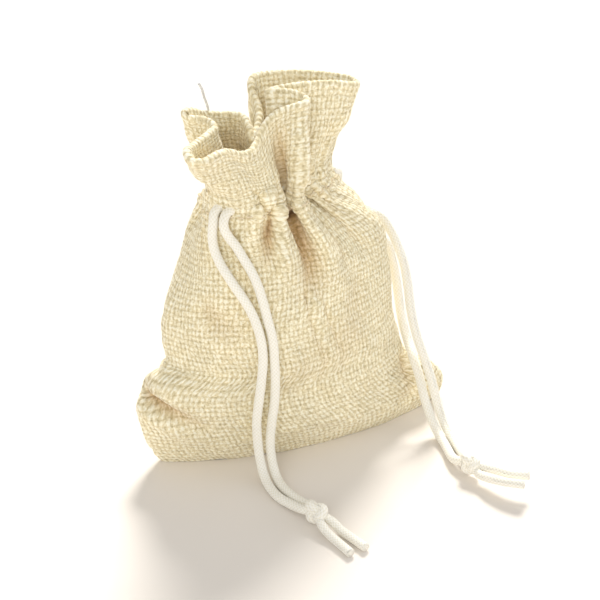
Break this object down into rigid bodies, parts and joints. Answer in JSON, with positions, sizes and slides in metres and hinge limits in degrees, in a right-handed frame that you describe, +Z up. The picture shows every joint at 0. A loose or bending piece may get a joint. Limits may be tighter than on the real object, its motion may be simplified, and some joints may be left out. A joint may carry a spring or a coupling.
{
  "type": "drawstring gift pouch",
  "caption": "Small drawstring gift pouch of coarse woven cloth, gathered shut under a ruffled mouth by knotted cords at both sides.",
  "frame": {"origin": "middle of the folded base, on the surface that the pouch stands on", "axes": "+Z up from the base to the mouth, -Y out of the front where the cords hang, +X to the right seen from the front"},
  "size_m": [0.0717, 0.0672, 0.0797],
  "materials": {
    "cloth": "coarse plain weave, matt",
    "cloth_inside": "coarse plain weave, matt, in shade",
    "cord": "braided, soft sheen",
    "cord_tail": "braid coming undone, soft sheen",
    "sewing_thread": "twisted sewing thread"
  },
  "bodies": {
    "pouch": {"bottom_fold": "cloth", "front_panel": "cloth", "back_panel": "cloth", "left_seam_allowance": "cloth_inside", "right_seam_allowance": "cloth_inside", "left_seam_stitches": "sewing_thread", "right_seam_stitches": "sewing_thread"},
    "left_mouth": {"left_channel_outer": "cloth", "left_channel_inner": "cloth_inside", "left_channel_cords": "cord", "left_channel_stitches": "sewing_thread", "left_ruffle": "cloth", "loose_thread": "sewing_thread", "left_strand_front": "cord", "left_strand_rear": "cord"},
    "right_mouth": {"right_channel_outer": "cloth", "right_channel_inner": "cloth_inside", "right_channel_cords": "cord", "right_channel_stitches": "sewing_thread", "right_ruffle": "cloth", "right_strand_front": "cord", "right_strand_rear": "cord"},
    "left_cord_end": {"left_knot": "cord", "left_tail_front": "cord_tail", "left_tail_rear": "cord_tail"},
    "right_cord_end": {"right_knot": "cord", "right_tail_front": "cord_tail", "right_tail_rear": "cord_tail"}
  },
  "joints": [
    {"name": "left_mouth_spread", "type": "slide", "parent": "pouch", "child": "left_mouth", "axis": [-1, 0, 0], "range_m": [0, 0.007]},
    {"name": "right_mouth_spread", "type": "slide", "parent": "pouch", "child": "right_mouth", "axis": [1, 0, 0], "range_m": [0, 0.007]},
    {"name": "left_cord_draw", "type": "slide", "parent": "left_mouth", "child": "left_cord_end", "axis": [0.2425, 0.9701, 0], "range_m": [0, 0.0145], "deforming": ["left_strand_front", "left_strand_rear"]},
    {"name": "right_cord_draw", "type": "slide", "parent": "right_mouth", "child": "right_cord_end", "axis": [-0.2425, 0.9701, 0], "range_m": [0, 0.0145], "deforming": ["right_strand_front", "right_strand_rear"]}
  ],
  "couplings": [
    {"joint": "right_mouth_spread", "follows": "left_mouth_spread", "ratio": 1},
    {"joint": "left_cord_draw", "follows": "left_mouth_spread", "ratio": 2.06},
    {"joint": "right_cord_draw", "follows": "left_mouth_spread", "ratio": 2.06}
  ]
}
